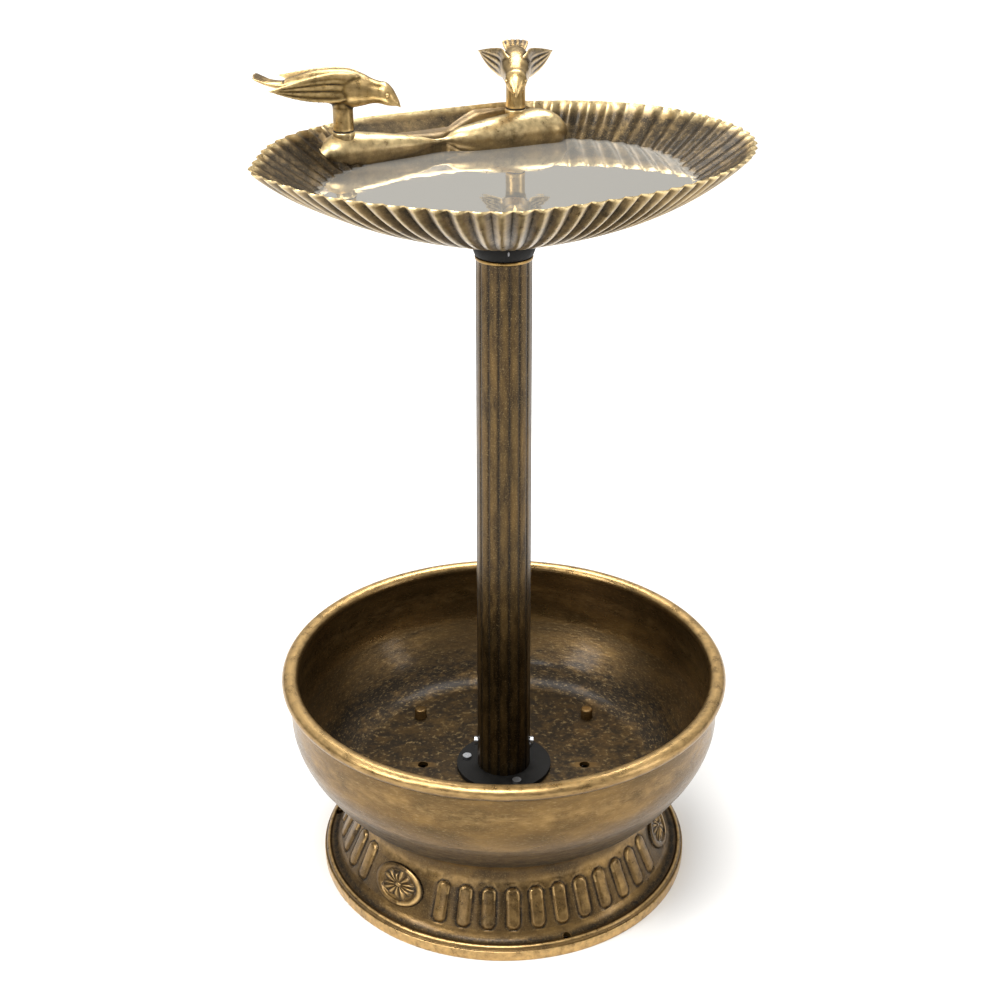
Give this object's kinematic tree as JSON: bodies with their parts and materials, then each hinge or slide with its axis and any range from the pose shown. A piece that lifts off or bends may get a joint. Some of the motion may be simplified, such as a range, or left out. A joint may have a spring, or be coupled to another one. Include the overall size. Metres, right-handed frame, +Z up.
{
  "type": "bird bath",
  "caption": "Bird bath: scallop-shell basin with cast birds on its rim, on a reeded column rising from a round planter bowl on a flared, staked foot.",
  "frame": {"origin": "centre of the circle of the three stake holes, on the plane that the foot stands on", "axes": "+Z up along the column, -Y to the front, +X to the right as seen from the front"},
  "size_m": [0.4205, 0.4507, 0.737],
  "materials": {
    "foot_bronze": "antique bronze paint rubbed to gold on its high places",
    "bowl_bronze": "antique bronze paint with brushed mottling",
    "column_bronze": "dark bronze paint with gold flecks on the reeds",
    "basin_bronze": "antique bronze paint rubbed to gold along the flutes and rim",
    "bird_bronze": "antique gold paint, dark in the feather grooves",
    "black_plastic": "black moulded plastic",
    "screw_steel": "zinc-plated screws and washers",
    "seal_rubber": "black rubber"
  },
  "bodies": {
    "stand": {"foot": "foot_bronze", "planter_bowl": "bowl_bronze", "bowl_screws": "screw_steel", "bowl_screw_washers": "screw_steel", "column_socket": "black_plastic", "socket_screws": "screw_steel", "column": "column_bronze", "column_screws": "screw_steel", "column_bush": "black_plastic"},
    "collar": {"basin_collar": "black_plastic"},
    "basin": {"basin": "basin_bronze"},
    "bird_left": {"bird_left": "bird_bronze", "bird_left_seal": "seal_rubber", "bird_left_washer": "screw_steel", "bird_left_screw": "screw_steel"},
    "bird_rear": {"bird_rear": "bird_bronze", "bird_rear_seal": "seal_rubber", "bird_rear_washer": "screw_steel", "bird_rear_screw": "screw_steel"}
  },
  "joints": [
    {"name": "basin_turn", "type": "hinge", "parent": "stand", "child": "collar", "pos_m": [0, 0, 0.6], "axis": [0, 0, 1], "continuous": true},
    {"name": "basin_lift", "type": "slide", "parent": "collar", "child": "basin", "axis": [0, 0, 1], "range_m": [0, 0.06]},
    {"name": "bird_left_turn", "type": "hinge", "parent": "basin", "child": "bird_left", "pos_m": [-0.137, 0.083, 0.683], "axis": [0, 0, 1], "continuous": true},
    {"name": "bird_rear_turn", "type": "hinge", "parent": "basin", "child": "bird_rear", "pos_m": [0.0106, 0.1717, 0.683], "axis": [0, 0, 1], "continuous": true}
  ]
}
